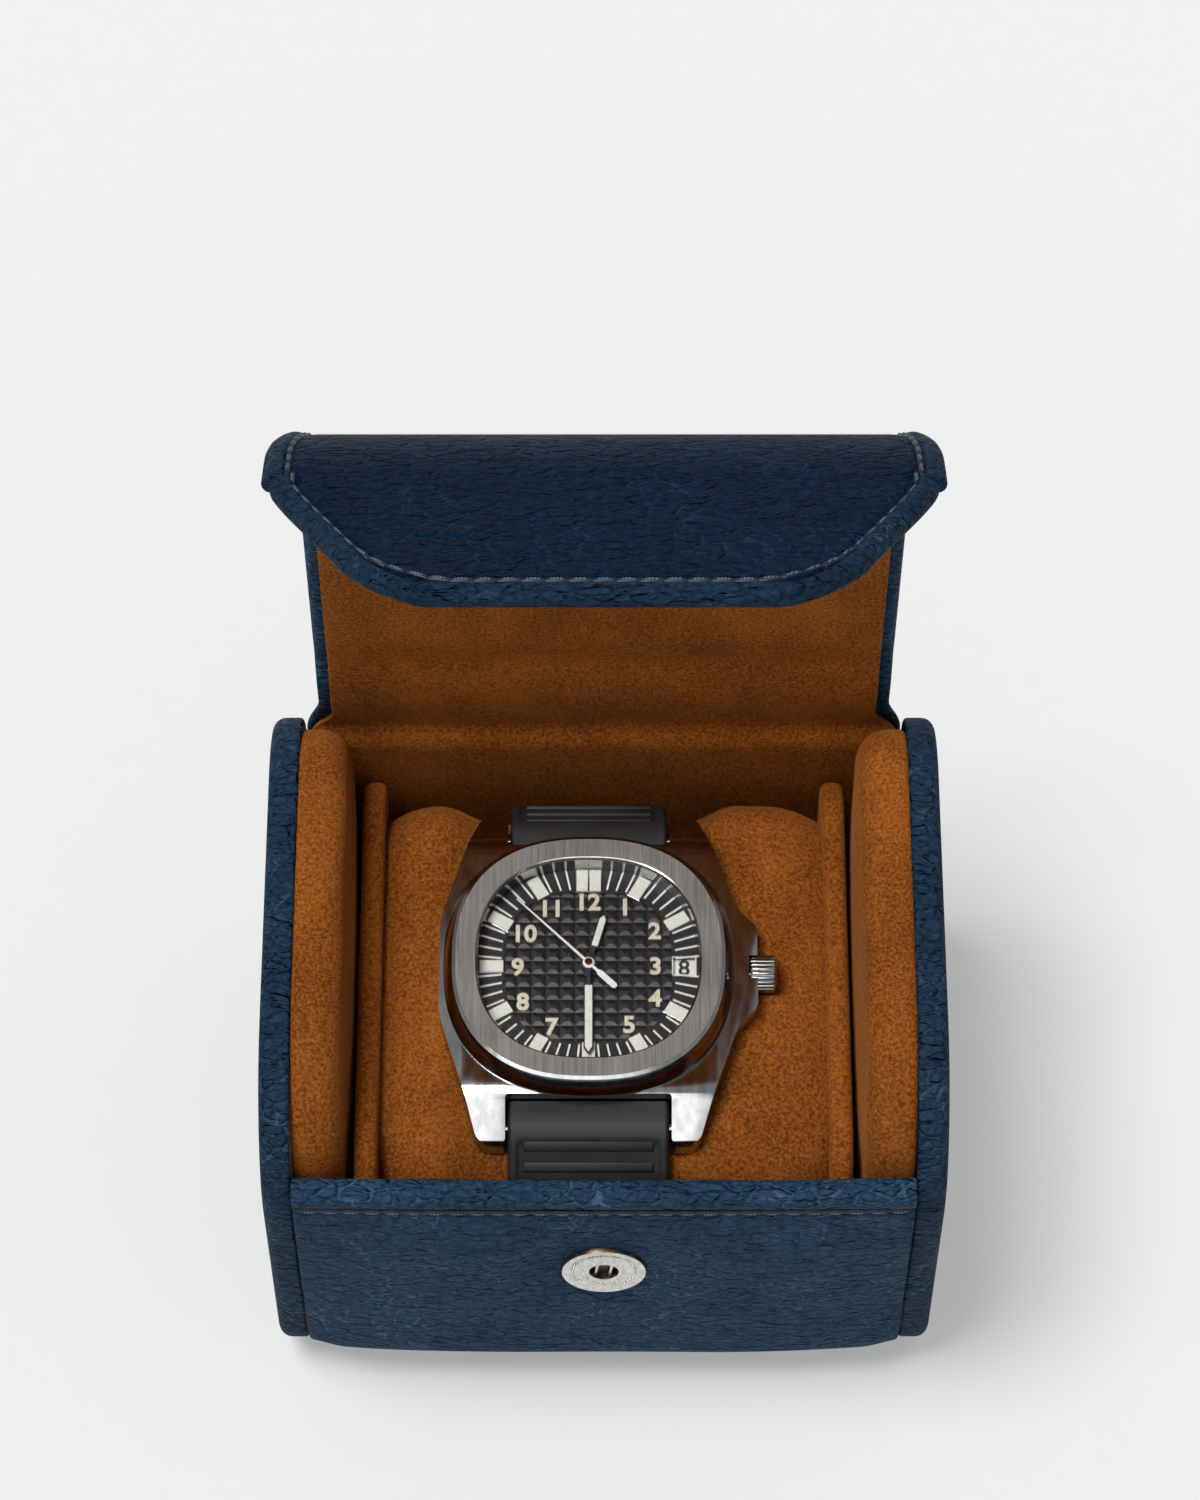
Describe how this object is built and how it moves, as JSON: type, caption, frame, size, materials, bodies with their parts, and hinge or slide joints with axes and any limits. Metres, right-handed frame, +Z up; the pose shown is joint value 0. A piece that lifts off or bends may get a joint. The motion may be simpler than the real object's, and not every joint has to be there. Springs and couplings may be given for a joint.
{
  "type": "travel display box",
  "caption": "Hinged leather travel box with a suede-lined inside, a snap flap and a lift-out cushion that holds a wristwatch by its closed strap.",
  "frame": {"origin": "middle of the flat base, on the surface that the box stands on", "axes": "+X to the right seen from the front, +Y to the back where the lid is hinged, +Z up; the snap faces -Y"},
  "size_m": [0.088, 0.0729, 0.1559],
  "materials": {
    "board": "matt fibreboard",
    "navy_leather": "pebbled, satin",
    "foam": "matt foam",
    "brown_suede": "napped suede",
    "nickel": "polished nickel",
    "steel": "brushed and polished",
    "movement_brass": "satin",
    "crystal": "clear",
    "dial_black": "satin black",
    "lume": "cream lume",
    "white_metal": "white",
    "date_white": "white print ground",
    "strap_rubber": "matt rubber"
  },
  "bodies": {
    "case": {"left_side_board": "board", "right_side_board": "board", "left_side_leather": "navy_leather", "right_side_leather": "navy_leather", "left_pad_foam": "foam", "right_pad_foam": "foam", "left_pad_suede": "brown_suede", "right_pad_suede": "brown_suede", "shell_leather": "navy_leather", "front_board": "board", "base_board": "board", "back_board": "board", "shell_lining": "brown_suede", "front_binding": "navy_leather", "snap_socket": "nickel", "snap_spring": "nickel", "socket_eyelet": "nickel", "hinge_leather": "navy_leather", "hinge_lining": "brown_suede"},
    "lid": {"lid_leather": "navy_leather", "lid_board": "board", "lid_lining": "brown_suede", "fold_leather": "navy_leather", "fold_lining": "brown_suede"},
    "flap": {"flap_leather": "navy_leather", "flap_board": "board", "flap_lining": "brown_suede", "snap_stud": "nickel", "stud_rivet": "nickel"},
    "cushion_with_watch": {"cushion_cover": "brown_suede", "cushion_foam": "foam", "left_cushion_end": "brown_suede", "right_cushion_end": "brown_suede", "watch_case": "steel", "case_back": "steel", "movement": "movement_brass", "bezel": "steel", "crystal": "crystal", "dial": "dial_black", "chapter_ring": "dial_black", "hour_markers": "lume", "centre_arbor": "steel", "rear_spring_bar": "steel", "front_spring_bar": "steel", "strap_rear": "strap_rubber", "strap_front": "strap_rubber", "strap_clasp": "steel"},
    "date_wheel": {"date_wheel": "date_white"},
    "hour_hand": {"hour_hand": "lume"},
    "minute_hand": {"minute_hand": "lume"},
    "seconds_hand": {"seconds_hand": "white_metal"},
    "winding_stem": {"winding_stem": "steel"},
    "crown": {"crown": "steel"}
  },
  "joints": [
    {"name": "lid_hinge", "type": "hinge", "parent": "case", "child": "lid", "pos_m": [0, 0.03232, 0.06617], "axis": [-1, 0, 0], "range_deg": [-90, 75], "deforming": ["hinge_leather", "hinge_lining"]},
    {"name": "flap_bend", "type": "hinge", "parent": "lid", "child": "flap", "pos_m": [0, 0.02682, 0.12941], "axis": [-1, 0, 0], "range_deg": [-26, 64], "deforming": ["fold_leather", "fold_lining"]},
    {"name": "cushion_lift", "type": "slide", "parent": "case", "child": "cushion_with_watch", "axis": [0, 0, 1], "range_m": [0, 0.065]},
    {"name": "crown_pull", "type": "slide", "parent": "cushion_with_watch", "child": "winding_stem", "axis": [1, 0, 0], "range_m": [0, 0.0012]},
    {"name": "crown_turn", "type": "hinge", "parent": "winding_stem", "child": "crown", "pos_m": [0.021, -0.0009, 0.0508], "axis": [1, 0, 0], "continuous": true},
    {"name": "minute_hand_turn", "type": "hinge", "parent": "cushion_with_watch", "child": "minute_hand", "pos_m": [-0.002, -0.0009, 0.0538], "axis": [0, 0, -1], "continuous": true},
    {"name": "hour_hand_turn", "type": "hinge", "parent": "cushion_with_watch", "child": "hour_hand", "pos_m": [-0.002, -0.0009, 0.0538], "axis": [0, 0, -1], "continuous": true},
    {"name": "seconds_hand_turn", "type": "hinge", "parent": "cushion_with_watch", "child": "seconds_hand", "pos_m": [-0.002, -0.0009, 0.0538], "axis": [0, 0, -1], "continuous": true},
    {"name": "date_wheel_turn", "type": "hinge", "parent": "cushion_with_watch", "child": "date_wheel", "pos_m": [-0.002, -0.0009, 0.0519], "axis": [0, 0, -1], "continuous": true}
  ],
  "couplings": [
    {"joint": "hour_hand_turn", "follows": "minute_hand_turn", "ratio": 0.083333}
  ]
}
